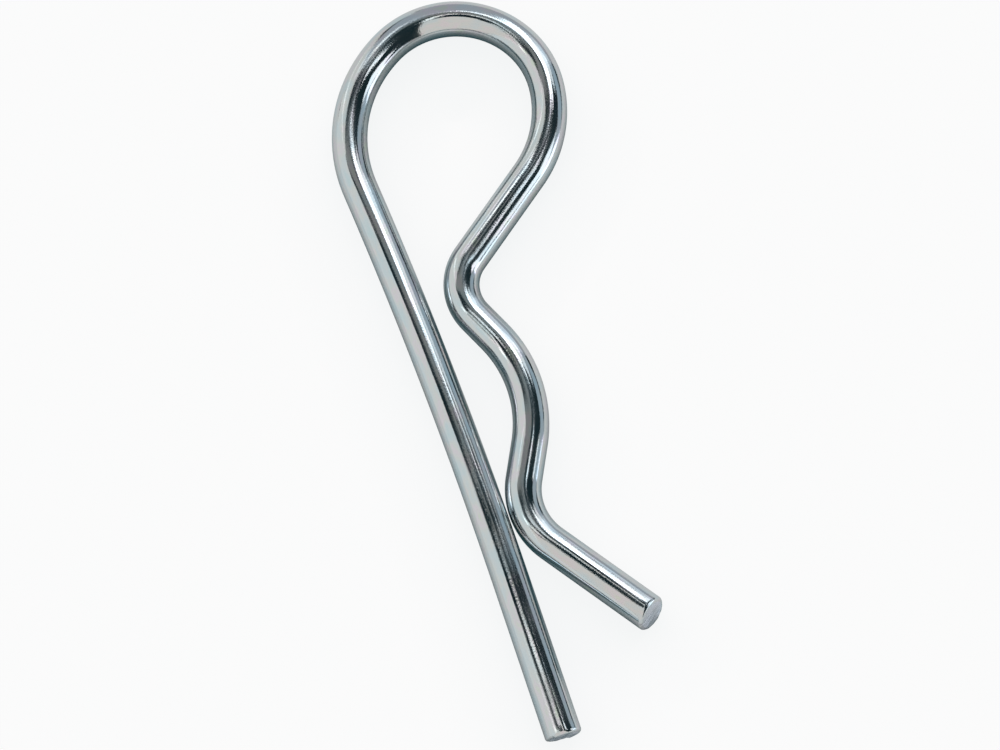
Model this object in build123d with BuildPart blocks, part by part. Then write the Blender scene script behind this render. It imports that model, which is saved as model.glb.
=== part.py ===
from build123d import *
from math import acos, asin, degrees, hypot, radians
import os

# Round spring wire
wire_diameter = 4.0
end_rounding = 0.4

# Long leg: a straight free end, then a slight bow up to the eye
leg_straight_length = 18.25
leg_bow_length = 47.55
leg_bow_angle = 4.6

# Eye: three bends of one loop, from the long leg round to the spring leg
eye_shoulder_radius = 16.3
eye_shoulder_angle = 64.5
eye_crown_radius = 10.45
eye_crown_angle = 125.5
eye_exit_radius = 14.05

# Spring leg: bend radii on the wire's axis, straight runs between bends, gaps to the long leg
eye_to_neck_run = 11.8
neck_radius = 5.5
neck_gap = 1.9
neck_to_seat_run = 3.05
seat_radius = 14.7
seat_gap = 4.65
seat_to_lead_run = 4.05
lead_radius = 7.5
lead_gap = 0.1

# Flared tip, sheared at a slant that faces up
tip_length = 13.35
tip_flare_angle = 35.5
tip_shear_angle = 20.0

# Directions of a turn, seen from above
RIGHT_ANGLE = 90
LEFT, RIGHT = 1, -1

# The leg's bow: its centre stands across the leg, on the side away from the spring leg
wire_radius = wire_diameter / 2
leg_bow_radius = leg_bow_length / radians(leg_bow_angle)
bow_centre = Vector(-leg_bow_radius, leg_straight_length)


def left_of(heading):
    """Unit vector a quarter turn to the left of a heading."""
    return heading.rotate(Axis.Z, RIGHT_ANGLE)


def next_bend_centre(centre, distance, leg_offset):
    """Centre of the next bend down the spring leg.

    It lies at a distance from the centre before it, and at an offset from the long leg's axis,
    so the cosine rule gives the angle between the two centres about the centre of the bow.
    """
    reach = centre - bow_centre
    offset_radius = leg_bow_radius + leg_offset
    cosine = (reach.length**2 + offset_radius**2 - distance**2) / (2 * reach.length * offset_radius)
    return bow_centre + reach.normalized().rotate(Axis.Z, -degrees(acos(cosine))) * offset_radius


def crossing_run(centre, radius, next_centre, next_radius, turn):
    """Start and end of the straight run from one bend to the next, which turns the other way."""
    reach = next_centre - centre
    lean = degrees(asin((radius + next_radius) / reach.length))
    side = left_of(reach.normalized().rotate(Axis.Z, turn * lean)) * turn
    return centre - side * radius, next_centre + side * next_radius


# The wire, bent flat about the long leg's free end, with its axis at height zero
with BuildPart() as bent_wire:
    with BuildLine() as route:
        # Long leg and the first two bends of the eye
        leg_end = Line((0, 0), (0, leg_straight_length))
        leg_bow = JernArc(leg_end @ 1, leg_end % 1, leg_bow_radius, leg_bow_angle)
        shoulder = JernArc(leg_bow @ 1, leg_bow % 1, eye_shoulder_radius, RIGHT * eye_shoulder_angle)
        crown = JernArc(shoulder @ 1, shoulder % 1, eye_crown_radius, RIGHT * eye_crown_angle)

        # Centres of the spring leg's bends: each gap is the clear space beside the long leg
        exit_centre = crown @ 1 - left_of(crown % 1) * eye_exit_radius
        neck_centre = next_bend_centre(
            exit_centre,
            hypot(eye_to_neck_run, eye_exit_radius + neck_radius),
            wire_diameter + neck_gap + neck_radius,
        )
        seat_centre = next_bend_centre(
            neck_centre,
            hypot(neck_to_seat_run, neck_radius + seat_radius),
            wire_diameter + seat_gap - seat_radius,
        )
        lead_centre = next_bend_centre(
            seat_centre,
            hypot(seat_to_lead_run, seat_radius + lead_radius),
            wire_diameter + lead_gap + lead_radius,
        )

        # Last bend of the eye, neck and seat, each followed by its straight run
        bends = [
            (exit_centre, eye_exit_radius, RIGHT),
            (neck_centre, neck_radius, LEFT),
            (seat_centre, seat_radius, RIGHT),
            (lead_centre, lead_radius, LEFT),
        ]
        laid = crown
        for (centre, radius, turn), (next_centre, next_radius, _) in zip(bends, bends[1:]):
            run_start, run_end = crossing_run(centre, radius, next_centre, next_radius, turn)
            TangentArc(laid @ 1, run_start, tangent=laid % 1)
            laid = Line(run_start, run_end)

        # Lead-in bend and flared tip, left a wire's thickness too long for the shear
        tip_heading = Vector(0, -1).rotate(Axis.Z, tip_flare_angle)
        tip_start = lead_centre - left_of(tip_heading) * lead_radius
        tip_end = tip_start + tip_heading * tip_length
        TangentArc(laid @ 1, tip_start, tangent=laid % 1)
        Line(tip_start, tip_end + tip_heading * wire_diameter)

    with BuildSketch(Plane(origin=route.line @ 0, z_dir=route.line % 0)):
        Circle(wire_radius)
    sweep(path=route.line)

    # The shear takes off the spare length, on a plane that leans back from the tip's heading
    shear_normal = tip_heading.rotate(Axis(tip_end, left_of(tip_heading)), -tip_shear_angle)
    with BuildSketch(Plane(origin=tip_end, z_dir=shear_normal)):
        Circle(wire_diameter)
    extrude(amount=2 * wire_diameter, mode=Mode.SUBTRACT)

    # Tumbling rounds the rims of both cut ends
    fillet(bent_wire.faces().filter_by(GeomType.PLANE).edges(), end_rounding)

# The clip as it lies: underside at height zero, outline centred on the origin
bounds = bent_wire.part.bounding_box()
with BuildPart() as r_clip:
    with Locations((-bounds.center().X, -bounds.center().Y, -bounds.min.Z)):
        add(bent_wire.part)
r_clip.part.label = "r_clip"

os.makedirs("parts", exist_ok=True)
export_step(r_clip.part, "parts/r_clip.step")
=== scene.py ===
# %% [markdown]
# # A bent wire R clip
#
# This lesson dresses one small thing: a hitch clip bent from a single length of round spring wire.
# The construction model already holds its size and its place, so it is loaded first and never moved.
# What follows is looks: a smoother wire, two sheared ends, a bright zinc plate, and a small studio,
# because polished metal shows little else but what stands around it.

# %% Load the construction model
import bpy
import numpy as np
from mathutils import Matrix, Vector


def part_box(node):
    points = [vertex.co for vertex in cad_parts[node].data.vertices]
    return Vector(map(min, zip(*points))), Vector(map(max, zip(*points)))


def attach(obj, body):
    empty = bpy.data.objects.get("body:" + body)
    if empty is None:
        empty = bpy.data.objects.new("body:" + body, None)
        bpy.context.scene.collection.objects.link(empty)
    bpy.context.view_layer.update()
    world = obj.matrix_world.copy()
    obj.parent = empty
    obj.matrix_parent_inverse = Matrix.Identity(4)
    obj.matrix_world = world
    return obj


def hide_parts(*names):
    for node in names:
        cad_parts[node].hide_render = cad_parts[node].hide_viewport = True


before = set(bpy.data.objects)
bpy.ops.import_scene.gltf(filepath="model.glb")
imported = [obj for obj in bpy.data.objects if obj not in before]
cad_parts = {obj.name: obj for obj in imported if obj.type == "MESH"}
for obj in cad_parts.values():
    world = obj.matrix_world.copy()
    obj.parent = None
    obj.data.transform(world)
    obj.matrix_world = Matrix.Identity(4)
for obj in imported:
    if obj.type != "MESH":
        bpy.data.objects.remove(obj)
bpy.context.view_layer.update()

clip_low, clip_high = (np.array(corner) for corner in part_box("r_clip"))
print("clip, in mm:", np.round((clip_high - clip_low) * 1000, 2))

# %% [markdown]
# ## The route of the wire
#
# A clip like this is made by feeding straight wire and bending it flat round pins, so its centre line is
# nothing but straight runs and arcs that join without a corner. A Bezier curve could be drawn over it,
# but it would wander off the true arcs, and a mirror finish shows every such wobble. Here each stretch
# is a length and a turn, and complex numbers carry the plane: a heading h is exp(ih), and the chord of
# an arc of length l and turn t is l sin(t/2)/(t/2), laid along the heading at the arc's middle.

# %% Sizes of the bends
MM = 0.001
WIRE_RADIUS = 2.0 * MM
WIRE_DIAMETER = 2 * WIRE_RADIUS

LEG_STRAIGHT_LENGTH = 18.25 * MM
LEG_BOW_LENGTH = 47.55 * MM
LEG_BOW_TURN = np.radians(4.6)

SHOULDER_RADIUS = 16.3 * MM
SHOULDER_TURN = np.radians(-64.5)
CROWN_RADIUS = 10.45 * MM
CROWN_TURN = np.radians(-125.5)
EXIT_RADIUS = 14.05 * MM

NECK_RUN, NECK_RADIUS, NECK_GAP = 11.8 * MM, 5.5 * MM, 1.9 * MM
SEAT_RUN, SEAT_RADIUS, SEAT_GAP = 3.05 * MM, 14.7 * MM, 4.65 * MM
LEAD_RUN, LEAD_RADIUS, LEAD_GAP = 4.05 * MM, 7.5 * MM, 0.1 * MM

TIP_LENGTH = 13.35 * MM
TIP_FLARE = np.radians(35.5)
UP_THE_LEG = np.radians(90)
LEFT, RIGHT = 1, -1
print("wire", WIRE_DIAMETER / MM, "mm thick, eye", round(2 * CROWN_RADIUS / MM, 1), "mm across its axis")


# %% Where each bend of the spring leg stands
def chord(length, turn, heading):
    """Chord of a stretch: its length times sin(t/2)/(t/2), along the heading at its middle."""
    return length * np.sinc(turn / (2 * np.pi)) * np.exp(1j * (heading + turn / 2))


def next_bend(centre, distance, leg_offset):
    """Centre of the next bend, at a distance from the last one and an offset from the bowed leg's axis.

    Seen from the centre of the bow, the cosine rule gives the angle between the two bends.
    """
    reach = centre - bow_centre
    far = bow_radius + leg_offset
    cosine = (abs(reach) ** 2 + far**2 - distance**2) / (2 * abs(reach) * far)
    return bow_centre + far * reach / abs(reach) * np.exp(-1j * np.arccos(cosine))


def crossing_heading(bend, following):
    """Heading of the straight run between two bends that turn opposite ways.

    It is the angle from centre to centre, leaned by the arcsine of both radii over that distance.
    """
    reach = following[0] - bend[0]
    return np.angle(reach) + bend[2] * np.arcsin((bend[1] + following[1]) / abs(reach))


bow_radius = LEG_BOW_LENGTH / LEG_BOW_TURN
bow_centre = LEG_STRAIGHT_LENGTH * 1j - bow_radius

eye_turns = np.array([0, LEG_BOW_TURN, SHOULDER_TURN, CROWN_TURN])
eye_lengths = np.array(
    [LEG_STRAIGHT_LENGTH, LEG_BOW_LENGTH, -SHOULDER_RADIUS * SHOULDER_TURN, -CROWN_RADIUS * CROWN_TURN]
)
crown_heading = UP_THE_LEG + eye_turns.sum()
crown_end = chord(eye_lengths, eye_turns, UP_THE_LEG + np.cumsum(eye_turns) - eye_turns).sum()

exit_centre = crown_end - 1j * EXIT_RADIUS * np.exp(1j * crown_heading)
neck_reach = np.hypot(NECK_RUN, EXIT_RADIUS + NECK_RADIUS)
neck_centre = next_bend(exit_centre, neck_reach, WIRE_DIAMETER + NECK_GAP + NECK_RADIUS)
seat_reach = np.hypot(SEAT_RUN, NECK_RADIUS + SEAT_RADIUS)
seat_centre = next_bend(neck_centre, seat_reach, WIRE_DIAMETER + SEAT_GAP - SEAT_RADIUS)
lead_reach = np.hypot(LEAD_RUN, SEAT_RADIUS + LEAD_RADIUS)
lead_centre = next_bend(seat_centre, lead_reach, WIRE_DIAMETER + LEAD_GAP + LEAD_RADIUS)

bends = [
    (exit_centre, EXIT_RADIUS, RIGHT),
    (neck_centre, NECK_RADIUS, LEFT),
    (seat_centre, SEAT_RADIUS, RIGHT),
    (lead_centre, LEAD_RADIUS, LEFT),
]
print("centres of the last four bends, in mm:", np.round(np.array([bend[0] for bend in bends]) / MM, 2))

# %% The whole route as lengths and turns
run_headings = [crossing_heading(bend, following) for bend, following in zip(bends, bends[1:])]
bend_turns = np.diff([crown_heading, *run_headings, TIP_FLARE - UP_THE_LEG])
bend_turns = (bend_turns + np.pi) % (2 * np.pi) - np.pi
bend_lengths = abs(bend_turns) * np.array([bend[1] for bend in bends])
run_lengths = np.array([NECK_RUN, SEAT_RUN, LEAD_RUN, TIP_LENGTH])

lengths = np.concatenate([eye_lengths, np.stack([bend_lengths, run_lengths], axis=1).ravel()])
turns = np.concatenate([eye_turns, np.stack([bend_turns, 0 * run_lengths], axis=1).ravel()])
starts = np.concatenate([[0], np.cumsum(lengths)])
headings = UP_THE_LEG + np.concatenate([[0], np.cumsum(turns)])
corners = np.concatenate([[0], np.cumsum(chord(lengths, turns, headings[:-1]))])
wire_length = starts[-1]


def along_wire(station):
    """Point and heading at a distance along the wire, for an array of any shape.

    A distance falls in one stretch, and the point is that stretch's start plus the chord walked so far.
    """
    stretch = np.clip(np.searchsorted(starts, station, side="right") - 1, 0, len(lengths) - 1)
    walked = station - starts[stretch]
    turned = turns[stretch] * walked / lengths[stretch]
    return corners[stretch] + chord(walked, turned, headings[stretch]), headings[stretch] + turned


print("wire", round(wire_length / MM, 1), "mm long, in", len(lengths), "stretches")

# %% [markdown]
# ## The wire as a surface
#
# A round wire is a function of two parameters: how far along it, and how far round it. A curve with a
# round bevel gives the same tube, but no say over its ends. Here the rows of points crowd together where
# the wire turns and spread out where it runs straight, so the finish has no facets to break on. At both
# ends the radius shrinks over a quarter round, which is the rim that tumbling leaves, and then to nothing
# across the cut face.

# %% Rows along the wire
ROUND = 112
ROW_TURN = np.radians(1.3)
ROW_LENGTH = 1.5 * MM
RIM_ROUNDING = 0.4 * MM
RIM_ROWS = 9
FACE_ROWS = 18

row_counts = np.ceil(np.maximum(abs(turns) / ROW_TURN, lengths / ROW_LENGTH)).astype(int) + 1
stretches = zip(starts, starts[1:], row_counts)
body_station = np.concatenate([np.linspace(*stretch, endpoint=False) for stretch in stretches])
body_station = body_station[(body_station > RIM_ROUNDING) & (body_station < wire_length - RIM_ROUNDING)]

rim_angle = np.linspace(0, np.pi / 2, RIM_ROWS)
end_depth = np.concatenate([np.zeros(FACE_ROWS), RIM_ROUNDING * (1 - np.cos(rim_angle))])
face_radius = np.linspace(0, WIRE_RADIUS - RIM_ROUNDING, FACE_ROWS, endpoint=False)
end_radius = np.concatenate([face_radius, WIRE_RADIUS - RIM_ROUNDING * (1 - np.sin(rim_angle))])
end_face = np.concatenate([np.ones(FACE_ROWS), np.cos(rim_angle)])

row_station = np.concatenate([end_depth, body_station, wire_length - end_depth[::-1]])
row_radius = np.concatenate([end_radius, np.full(len(body_station), WIRE_RADIUS), end_radius[::-1]])
print(len(row_station), "rows of", ROUND, "points")

# %% [markdown]
# ## The sheared ends
#
# The wire is parted with a shear and not with a saw. The blade first presses a smooth band, then the rest
# tears away a little deeper and rougher, so a cut end has a step across it. The spring leg's tip was also
# cut on a slant that faces up. Both could be sculpted, but a few lines do it: the slant slides each point
# along the wire in proportion to its height, and the step is a smooth ramp across the face.

# %% Slant and step
TIP_SHEAR = np.radians(20.0)
TIP_SLANT_LENGTH = 3 * WIRE_RADIUS
STEP_DEPTH = 0.14 * MM
STEP_WIDTH = 0.16 * MM
TEAR_DEPTH = 0.012 * MM
TEAR_WAVE = 0.55 * MM
WAVES_DOWN, WAVES_ACROSS, WAVE_SWAY = 5.1, 4.3, 2

# The blade's direction on each face, and how far against it, from the middle, the pressed band ends
TIP_BLADE, TIP_BAND = np.radians(84), -0.25 * WIRE_RADIUS
LEG_BLADE, LEG_BAND = np.radians(150), 0.1 * WIRE_RADIUS


def ramp(value):
    """Smooth step from 0 to 1: three times the square less twice the cube."""
    held = np.clip(value, 0, 1)
    return held**2 * (3 - 2 * held)


def sheared_relief(across, height, blade, band):
    """How far a cut face lies behind flat.

    The distance against the blade's direction runs down a smooth ramp where the pressed band ends, and
    past it two crossed sine waves make the torn part uneven.
    """
    past = -(across * np.cos(blade) + height * np.sin(blade)) - band
    along = across * np.sin(blade) - height * np.cos(blade)
    torn = ramp(past / STEP_WIDTH)
    down, sideways = past / TEAR_WAVE, along / TEAR_WAVE
    waves = np.sin(WAVES_DOWN * down + WAVE_SWAY * np.sin(sideways)) + np.sin(WAVES_ACROSS * sideways)
    return torn * (STEP_DEPTH + TEAR_DEPTH * waves)


print("tip cut", round(np.degrees(TIP_SHEAR)), "degrees off square, step", STEP_DEPTH / MM, "mm deep")


# %% Points of the wire
def wire_points(angle):
    """Points of the bent wire, and the same points while the wire was still straight.

    A ring stands square to the heading, with the cosine of its angle to the left and the sine up. The end
    rows are slid along the wire by the step, and the tip's rows also by their height times the tangent
    of the slant, faded in over a short length.
    """
    across = row_radius[:, None] * np.cos(angle)
    height = row_radius[:, None] * np.sin(angle)
    to_tip = wire_length - row_station
    slant = ramp(1 - to_tip / TIP_SLANT_LENGTH)[:, None] * np.tan(TIP_SHEAR) * height
    on_face = np.interp(row_station, end_depth[FACE_ROWS:], end_face[FACE_ROWS:])[:, None]
    on_tip = np.interp(to_tip, end_depth[FACE_ROWS:], end_face[FACE_ROWS:])[:, None]
    leg_step = on_face * sheared_relief(across, height, LEG_BLADE, LEG_BAND)
    tip_step = on_tip * sheared_relief(across, height, TIP_BLADE, TIP_BAND)
    station = row_station[:, None] + leg_step - slant - tip_step
    axis, heading = along_wire(station)
    point = axis + 1j * np.exp(1j * heading) * across
    bent = np.stack([point.real, point.imag, height], axis=-1)
    straight = np.stack([across, height, station], axis=-1)
    return bent, straight


angle = np.linspace(-np.pi / 2, 1.5 * np.pi, ROUND, endpoint=False)
bent, straight = wire_points(angle)
bent_low, bent_high = bent.min(axis=(0, 1)), bent.max(axis=(0, 1))
bent += (clip_low + clip_high - bent_low - bent_high) / 2
print("wire's box less the clip's, in mm:", np.round((bent_high - bent_low - clip_high + clip_low) / MM, 3))

# %% [markdown]
# ## From points to a mesh
#
# Blender wants corners and faces. The rings are joined by quads, and each cut face closes in a fan of
# triangles at its middle, so the wire is one closed skin. The finish has to run along the wire and round
# its bends, as real draw lines do. An unwrapped map could carry it, but the place of each point on the
# straight wire, kept as an attribute, has no seam.


# %% Mesh of the wire
def tube_mesh(name, points, straight):
    """Closed tube from a grid: quads between neighbouring rings, and a fan of triangles at each pole.

    The first and last rows are single points, so only one of each is kept. The straight wire's points
    go along as the attribute drawn_wire, so that the finish can follow the wire round its bends.
    """
    rows, ring = points.shape[:2]
    keep = np.ones((rows, ring), bool)
    keep[[0, -1], 1:] = False
    index = np.cumsum(keep.ravel()).reshape(rows, ring) - 1
    index[0] = index[0, 0]
    index[-1] = index[-1, 0]
    beside = np.roll(index, -1, axis=1)
    quads = np.stack([index[:-1], beside[:-1], beside[1:], index[1:]], axis=-1)
    faces = quads[0][:, [0, 2, 3]].tolist()
    faces += quads[1:-1].reshape(-1, 4).tolist()
    faces += quads[-1][:, [0, 1, 2]].tolist()
    mesh = bpy.data.meshes.new(name)
    mesh.from_pydata(points[keep].tolist(), [], faces)
    drawn = mesh.attributes.new("drawn_wire", "FLOAT_VECTOR", "POINT")
    drawn.data.foreach_set("vector", straight[keep].ravel().astype(np.float32))
    mesh.shade_smooth()
    return mesh


wire_mesh = tube_mesh("clip_wire", bent, straight)
clip_wire = bpy.data.objects.new("clip_wire", wire_mesh)
bpy.context.scene.collection.objects.link(clip_wire)
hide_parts("r_clip")
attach(clip_wire, "root")

face_count = len(wire_mesh.polygons)
normals, middles, areas = np.zeros((face_count, 3)), np.zeros((face_count, 3)), np.zeros(face_count)
for measure, values in (("normal", normals), ("center", middles), ("area", areas)):
    wire_mesh.polygons.foreach_get(measure, values.ravel())

# A volume above zero means that the faces point outwards
volume = ((normals * middles).sum(axis=1) * areas).sum() / 3
print(face_count, "faces, volume", round(volume / MM**3, 1), "cubic mm")

# %% [markdown]
# ## Bright zinc
#
# The plate on the real clip is thin zinc with a clear chromate over it. It is nearly a mirror, a little
# cold in colour, with faint rainbow tints where the chromate is thicker, and it keeps the draw lines of
# the wire and the fine grain of the plating bath. A texture picture would stretch round the bends, so
# the pattern is worked out on the straight wire, from the attribute saved above. One node group makes
# colour, roughness and height for both the drawn surface and the cut ends. The cut ends were rough before
# they were plated, so they have a satin look. Their paler, bluer colour is partly that satin plate and
# partly painted light, which brightens a face that mostly mirrors dark surroundings.


# %% Helpers for shader nodes
def add_node(tree, kind, inputs=(), **settings):
    """One shader node: its settings, and its inputs by name or number, each a value or a socket."""
    node = tree.nodes.new(kind)
    for name, value in settings.items():
        setattr(node, name, value)
    for name, value in dict(inputs).items():
        if isinstance(value, bpy.types.NodeSocket):
            tree.links.new(value, node.inputs[name])
        else:
            node.inputs[name].default_value = value
    return node


def math_node(tree, operation, *values):
    """The result of a Math node on two or three values or sockets."""
    return add_node(tree, "ShaderNodeMath", dict(enumerate(values)), operation=operation).outputs[0]


def mixed_colour(tree, share, first, second):
    """The first colour at share 0, the second at share 1, and a blend between.

    A Mix node keeps its two colours on inputs 6 and 7, and their blend on output 2.
    """
    return add_node(tree, "ShaderNodeMix", {0: share, 6: first, 7: second}, data_type="RGBA").outputs[2]


NOISE_ROUGHNESS = 0.55


def stretched_noise(tree, place, width, length, detail):
    """Noise whose grains have a width across the wire and a length along it, in metres."""
    per_metre = (1 / width, 1 / width, 1 / length)
    scaled = add_node(tree, "ShaderNodeVectorMath", {0: place, 1: per_metre}, operation="MULTIPLY")
    noise = {"Vector": scaled.outputs[0], "Scale": 1.0, "Detail": detail, "Roughness": NOISE_ROUGHNESS}
    return add_node(tree, "ShaderNodeTexNoise", noise).outputs["Fac"]


print("node helpers ready")

# %% The plating as a node group
GRAIN_WIDTH, GRAIN_LENGTH = 0.238 * MM, 0.14 * MM
DRAW_WIDTH, DRAW_LENGTH = 0.16 * MM, 9.0 * MM
RIPPLE_WIDTH, RIPPLE_LENGTH = 1.6 * MM, 6.4 * MM
RIPPLE_HEIGHT = 0.02 * MM
PATCH_WIDTH, PATCH_LENGTH = 1.3 * MM, 3.25 * MM

# The middle span of a noise, and what the haze is multiplied by over that span
NOISE_LOW, NOISE_HIGH = 0.3, 0.7
HAZE_LOW, HAZE_HIGH = 0.5, 1.5

# Clear chromate's colours by the noise that picks them, and the cut's paler zinc, partly satin and partly
# painted light
SATIN_ZINC_WITH_PAINTED_LIGHT = (0.86, 0.88, 0.97, 1)
TINTS = (
    (0.30, (0.635, 0.745, 0.775, 1)),
    (0.44, (0.685, 0.745, 0.77, 1)),
    (0.53, (0.725, 0.75, 0.74, 1)),
    (0.62, (0.765, 0.725, 0.765, 1)),
    (0.72, (0.715, 0.765, 0.685, 1)),
)

plating = bpy.data.node_groups.new("zinc_plating", "ShaderNodeTree")
plating.interface.new_socket("Place", in_out="INPUT", socket_type="NodeSocketVector")
for name in ("Grain Height", "Line Height", "Haze", "Satin And Painted Light"):
    plating.interface.new_socket(name, in_out="INPUT", socket_type="NodeSocketFloat")
plating.interface.new_socket("Color", in_out="OUTPUT", socket_type="NodeSocketColor")
for name in ("Roughness", "Height"):
    plating.interface.new_socket(name, in_out="OUTPUT", socket_type="NodeSocketFloat")

given = add_node(plating, "NodeGroupInput").outputs
grain = stretched_noise(plating, given["Place"], GRAIN_WIDTH, GRAIN_LENGTH, detail=1.0)
draw_lines = stretched_noise(plating, given["Place"], DRAW_WIDTH, DRAW_LENGTH, detail=1.0)
ripple = stretched_noise(plating, given["Place"], RIPPLE_WIDTH, RIPPLE_LENGTH, detail=1.0)
patches = stretched_noise(plating, given["Place"], PATCH_WIDTH, PATCH_LENGTH, detail=2.0)

tint = add_node(plating, "ShaderNodeValToRGB", {"Fac": patches})
stops = tint.color_ramp.elements
stops[0].position, stops[1].position = TINTS[0][0], TINTS[-1][0]
stops[0].color, stops[1].color = TINTS[0][1], TINTS[-1][1]
for position, colour in TINTS[1:-1]:
    stops.new(position).color = colour

# The cut face's paler zinc comes in here: partly satin plate, partly painted light
colour = mixed_colour(plating, given["Satin And Painted Light"], tint.outputs["Color"], SATIN_ZINC_WITH_PAINTED_LIGHT)
haze_span = {"From Min": NOISE_LOW, "From Max": NOISE_HIGH, "To Min": HAZE_LOW, "To Max": HAZE_HIGH}
haze = add_node(plating, "ShaderNodeMapRange", {"Value": ripple, **haze_span}).outputs[0]
height = math_node(plating, "MULTIPLY", grain, given["Grain Height"])
height = math_node(plating, "MULTIPLY_ADD", draw_lines, given["Line Height"], height)
height = math_node(plating, "MULTIPLY_ADD", ripple, RIPPLE_HEIGHT, height)
roughness = math_node(plating, "MULTIPLY", haze, given["Haze"])
add_node(plating, "NodeGroupOutput", {"Color": colour, "Roughness": roughness, "Height": height})
print("zinc_plating has", len(plating.nodes), "nodes")

# %% Two finishes from one plating
LINE_HEIGHT = 0.004 * MM
DRAWN_SURFACE = {"Grain Height": 0.0032 * MM, "Line Height": LINE_HEIGHT, "Haze": 0.11, "Satin And Painted Light": 0.0}
# The cut face takes most of the paler zinc, which is partly satin plate and partly painted light
CUT_FACE = {"Grain Height": 0.016 * MM, "Line Height": LINE_HEIGHT, "Haze": 0.40, "Satin And Painted Light": 0.7}


def zinc_finish(name, plating_values):
    """A metal that takes its colour, roughness and bump from the plating, with its own values for each.

    The plating gives its heights in metres, so the bump's own distance is one.
    """
    finish = bpy.data.materials.new(name)
    finish.use_nodes = True
    tree = finish.node_tree
    drawn = add_node(tree, "ShaderNodeAttribute", attribute_name="drawn_wire").outputs["Vector"]
    plate = add_node(tree, "ShaderNodeGroup", node_tree=plating)
    tree.links.new(drawn, plate.inputs["Place"])
    for socket, value in plating_values.items():
        plate.inputs[socket].default_value = value
    bump = add_node(tree, "ShaderNodeBump", {"Distance": 1.0, "Height": plate.outputs["Height"]})
    shader = tree.nodes["Principled BSDF"]
    shader.inputs["Metallic"].default_value = 1.0
    tree.links.new(plate.outputs["Color"], shader.inputs["Base Color"])
    tree.links.new(plate.outputs["Roughness"], shader.inputs["Roughness"])
    tree.links.new(bump.outputs["Normal"], shader.inputs["Normal"])
    return finish


wire_mesh.materials.append(zinc_finish("bright_zinc", DRAWN_SURFACE))
wire_mesh.materials.append(zinc_finish("sheared_zinc", CUT_FACE))

last_row = len(row_station) - 2
face_row = np.repeat(np.arange(last_row + 1), ROUND)
on_cut = np.minimum(face_row, last_row - face_row) < FACE_ROWS
wire_mesh.polygons.foreach_set("material_index", on_cut.astype(np.int32))
print(on_cut.sum(), "of", face_count, "faces are on the cut ends")

# %% [markdown]
# ## The camera
#
# The clip is seen from above, a little from its open end, through a long lens that hardly narrows its far
# end. A camera can be placed by eye, but here its angles and its distance come from fitting the outline of
# the bent wire to the photo, so the wire falls on the same part of the picture.

# %% The camera
VIEW_AZIMUTH = np.radians(-18.252)
VIEW_ELEVATION = np.radians(72.748)
VIEW_DISTANCE = 328.9 * MM
VIEW_TARGET = Vector((-3.841 * MM, -2.106 * MM, 2.0 * MM))
SENSOR_WIDTH, LENS_LENGTH = 36.0, 108.0
NEAREST_SEEN = 10 * MM

toward_camera = Vector((np.sin(VIEW_AZIMUTH), -np.cos(VIEW_AZIMUTH), np.tan(VIEW_ELEVATION))).normalized()
camera = bpy.data.objects.new("camera", bpy.data.cameras.new("camera"))
camera.data.sensor_width = SENSOR_WIDTH
camera.data.lens = LENS_LENGTH
camera.data.clip_start = NEAREST_SEEN
camera.location = VIEW_TARGET + toward_camera * VIEW_DISTANCE
camera.rotation_euler = (np.pi / 2 - VIEW_ELEVATION, 0, VIEW_AZIMUTH)
bpy.context.scene.collection.objects.link(camera)
bpy.context.scene.camera = camera
print("camera at", [round(c, 3) for c in camera.location])

# %% [markdown]
# ## The floor
#
# A small part is often photographed on white paper. More light would whiten the paper, but it would burn
# out the metal too. So the paper looks at the kind of ray that meets it: the camera finds it white but for
# a small share of its real light and shade, a mirrored ray finds it pale, and any other ray finds plain
# paper lit by the lamps. The dark line where the wire meets the paper has to stay, in the picture and in
# the wire's own reflections, so ambient occlusion darkens both there, more on the side away from the key.

# %% The paper floor
FLOOR_HALF = 1.5

# Paper under the lamps, paper and its shade as the camera finds them, and as a mirrored ray does
PAPER = (0.70, 0.74, 0.76, 1)
WHITE, SHADE = (1, 1, 1, 1), (0.93, 0.945, 0.95, 1)
PALE, SHADOW = (0.62, 0.645, 0.65, 1), (0.004, 0.045, 0.055, 1)
CAMERA_WHITE = 0.94

# The contact shadow: its reach, the power that deepens it, the rays that test it, the key's direction
SHADOW_REACH = 10 * MM
SHADOW_DEPTH = 2.8
SHADOW_RAYS = 4
KEY_WAY = (0.12, 0.81, 0.57)

floor_corners = FLOOR_HALF * np.array([(-1, -1, 0), (1, -1, 0), (1, 1, 0), (-1, 1, 0)])
floor_mesh = bpy.data.meshes.new("floor")
floor_mesh.from_pydata(floor_corners.tolist(), [], [(0, 1, 2, 3)])
floor = bpy.data.objects.new("floor", floor_mesh)
bpy.context.scene.collection.objects.link(floor)

paper = bpy.data.materials.new("white_paper")
paper.use_nodes = True
tree = paper.node_tree
tree.nodes.remove(tree.nodes["Principled BSDF"])
seen = add_node(tree, "ShaderNodeLightPath").outputs
mirrored = math_node(tree, "ADD", seen["Is Glossy Ray"], seen["Is Transmission Ray"])
glow_share = math_node(tree, "MULTIPLY_ADD", seen["Is Camera Ray"], CAMERA_WHITE, mirrored)
key_way = add_node(tree, "ShaderNodeCombineXYZ", dict(enumerate(KEY_WAY))).outputs[0]
contact = {"Distance": SHADOW_REACH, "Normal": key_way}
open_share = add_node(tree, "ShaderNodeAmbientOcclusion", contact, samples=SHADOW_RAYS).outputs["AO"]
open_share = math_node(tree, "POWER", open_share, SHADOW_DEPTH)
for_mirrors = mixed_colour(tree, open_share, SHADOW, PALE)
for_camera = mixed_colour(tree, open_share, SHADE, WHITE)
shown = mixed_colour(tree, seen["Is Camera Ray"], for_mirrors, for_camera)
lit = add_node(tree, "ShaderNodeBsdfDiffuse", {"Color": PAPER}).outputs[0]
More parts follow.
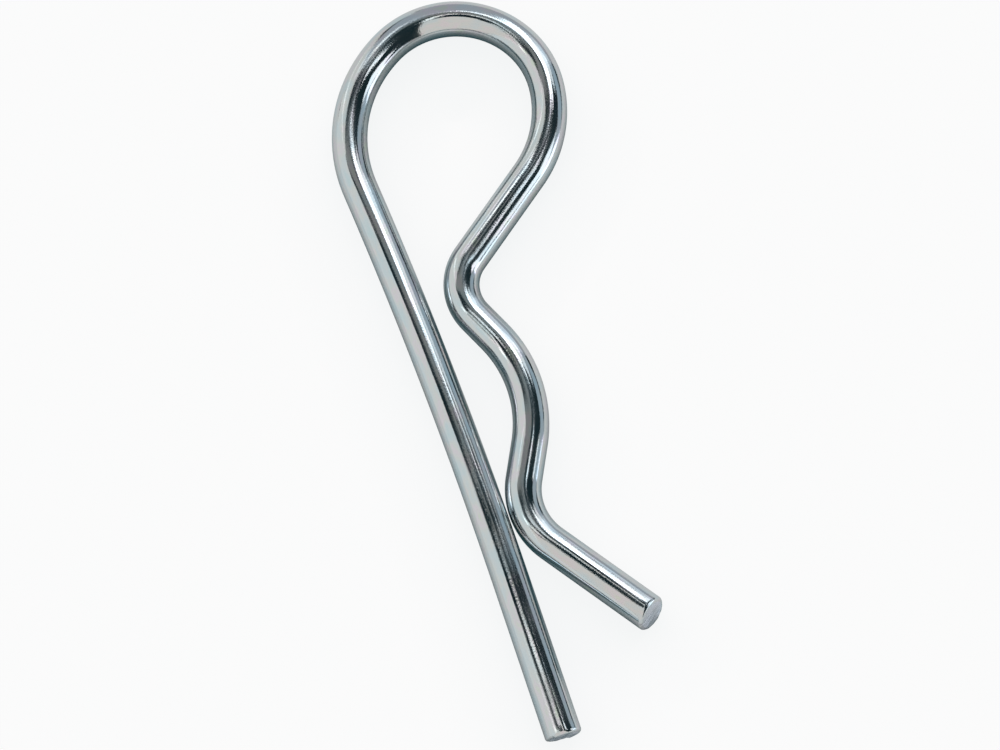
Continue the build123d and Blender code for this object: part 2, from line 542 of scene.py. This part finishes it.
glow = add_node(tree, "ShaderNodeEmission", {"Color": shown, "Strength": 1.0}).outputs[0]
mixed = add_node(tree, "ShaderNodeMixShader", {0: glow_share, 1: lit, 2: glow}).outputs[0]
tree.links.new(mixed, tree.nodes["Material Output"].inputs["Surface"])
floor_mesh.materials.append(paper)
print("floor", 2 * FLOOR_HALF, "m wide")

# %% [markdown]
# ## The soft boxes
#
# A bright wire is one long curved mirror, so each band on it is the picture of a lamp, drawn out along the
# wire. A few round lamps would give a few thin lines. Soft boxes give broad bands, as wide as the box
# looks from the wire, and narrow strips give the fine bright lines. They stand far off, so a band keeps
# its place from one end of the clip to the other. Their places come from following mirrored rays back
# from the bands in the photo: a wedge of three bright boxes behind, two more on the right, pale panels on
# the left and in front, greyer ones behind and on the right, and thin strips overhead.

# %% Lamps round the clip
LAMP_DISTANCE = 3.0

# Each box: angle round the picture, angle down from overhead, roll, half width, half height, radiance
SOFT_BOXES = {
    "key_box": (71, 41.6, -6, 0.080, 0.295, (1.66, 1.72, 1.78)),
    "key_side": (55.5, 45.4, -50, 0.131, 0.231, (0.82, 0.86, 0.90)),
    "key_foot": (68.5, 31, 15.5, 0.20, 0.07, (1.50, 1.56, 1.62)),
    "side_box": (-5.7, 62.6, 37, 0.26, 0.15, (1.20, 1.26, 1.32)),
    "left_panel": (193, 82.5, -44.5, 1.18, 0.68, (0.725, 0.735, 0.725)),
    "left_foot": (127, 86, 0, 0.38, 0.10, (0.62, 0.63, 0.62)),
    "left_corner": (136, 59, -13.5, 0.174, 0.43, (0.66, 0.67, 0.655)),
    "front_panel": (266, 58, 19, 0.71, 1.10, (0.715, 0.68, 0.65)),
    "back_panel": (81, 66.5, -28.5, 0.58, 0.86, (0.35, 0.365, 0.40)),
    "right_panel": (18.5, 74, 23.5, 0.88, 0.20, (0.34, 0.40, 0.45)),
    "low_panel": (-21, 98, 20, 0.62, 0.31, (1.10, 1.18, 1.32)),
    "top_strip": (147.7, 12.4, -37.7, 0.14, 0.035, (1.15, 1.17, 1.17)),
    "overhead_strip": (37, 5.4, 87.5, 0.026, 0.17, (1.20, 1.20, 1.16)),
    "corner_strip": (15.5, 25.5, -57, 0.034, 0.20, (1.50, 1.57, 1.64)),
    "back_strip": (115, 37.5, -43, 0.167, 0.024, (1.40, 1.42, 1.40)),
    "inner_strip": (193.5, 30, -9.5, 0.042, 0.27, (0.98, 1.0, 0.97)),
    "inner_panel": (132.5, 24, -42, 0.34, 0.072, (0.22, 0.225, 0.22)),
}


def soft_box(name, azimuth, zenith, roll, half_width, half_height, radiance):
    """A soft light that faces the clip.

    It stands at an angle round the picture, 0 to its right and 90 at its top, and an angle down from
    overhead, and is rolled about its own middle. Its half sizes are shares of its distance, and its power
    is pi times its area times its radiance.
    """
    turn, tilt, lean = np.radians([azimuth, zenith, roll]) + (VIEW_AZIMUTH, 0, 0)
    outward = np.array([np.sin(tilt) * np.cos(turn), np.sin(tilt) * np.sin(turn), np.cos(tilt)])
    level = np.array([-np.sin(turn), np.cos(turn), 0])
    side = np.cos(lean) * level + np.sin(lean) * np.cross(outward, level)
    light = bpy.data.lights.new(name, "AREA")
    light.shape = "RECTANGLE"
    light.size = 2 * half_width * LAMP_DISTANCE
    light.size_y = 2 * half_height * LAMP_DISTANCE
    light.energy = np.pi * light.size * light.size_y * max(radiance)
    light.color = [share / max(radiance) for share in radiance]
    lamp = bpy.data.objects.new(name, light)
    turned = Matrix(np.stack([side, np.cross(outward, side), outward], axis=1).tolist())
    lamp.matrix_world = Matrix.Translation(Vector(outward) * LAMP_DISTANCE + VIEW_TARGET) @ turned.to_4x4()
    lamp.visible_camera = False
    bpy.context.scene.collection.objects.link(lamp)


for name, layout in SOFT_BOXES.items():
    soft_box(name, *layout)
print(len(SOFT_BOXES), "soft boxes")

# %% [markdown]
# ## The dark room
#
# The near-black lines on the wire are the gaps between the lamps, so the walls behind the lamps are dark.
# Walls could be built, but a colour of the world does the same and never stands in the camera's way. Past
# the edge of the floor the camera finds white, and a mirrored ray finds only a trace of it.

# %% The walls as a world colour
ROOM = (0, 0.012, 0.017, 1)
MIRRORED_WALLS = 0.01

room = bpy.data.worlds.new("dark_room")
bpy.context.scene.world = room
room.use_nodes = True
tree = room.node_tree
seen = add_node(tree, "ShaderNodeLightPath").outputs
mirrored = math_node(tree, "ADD", seen["Is Glossy Ray"], seen["Is Transmission Ray"])
white_share = math_node(tree, "MULTIPLY_ADD", mirrored, MIRRORED_WALLS, seen["Is Camera Ray"])
walls = mixed_colour(tree, white_share, ROOM, WHITE)
tree.links.new(walls, tree.nodes["Background"].inputs["Color"])
bpy.context.scene.view_settings.view_transform = "Standard"
print("room ready")
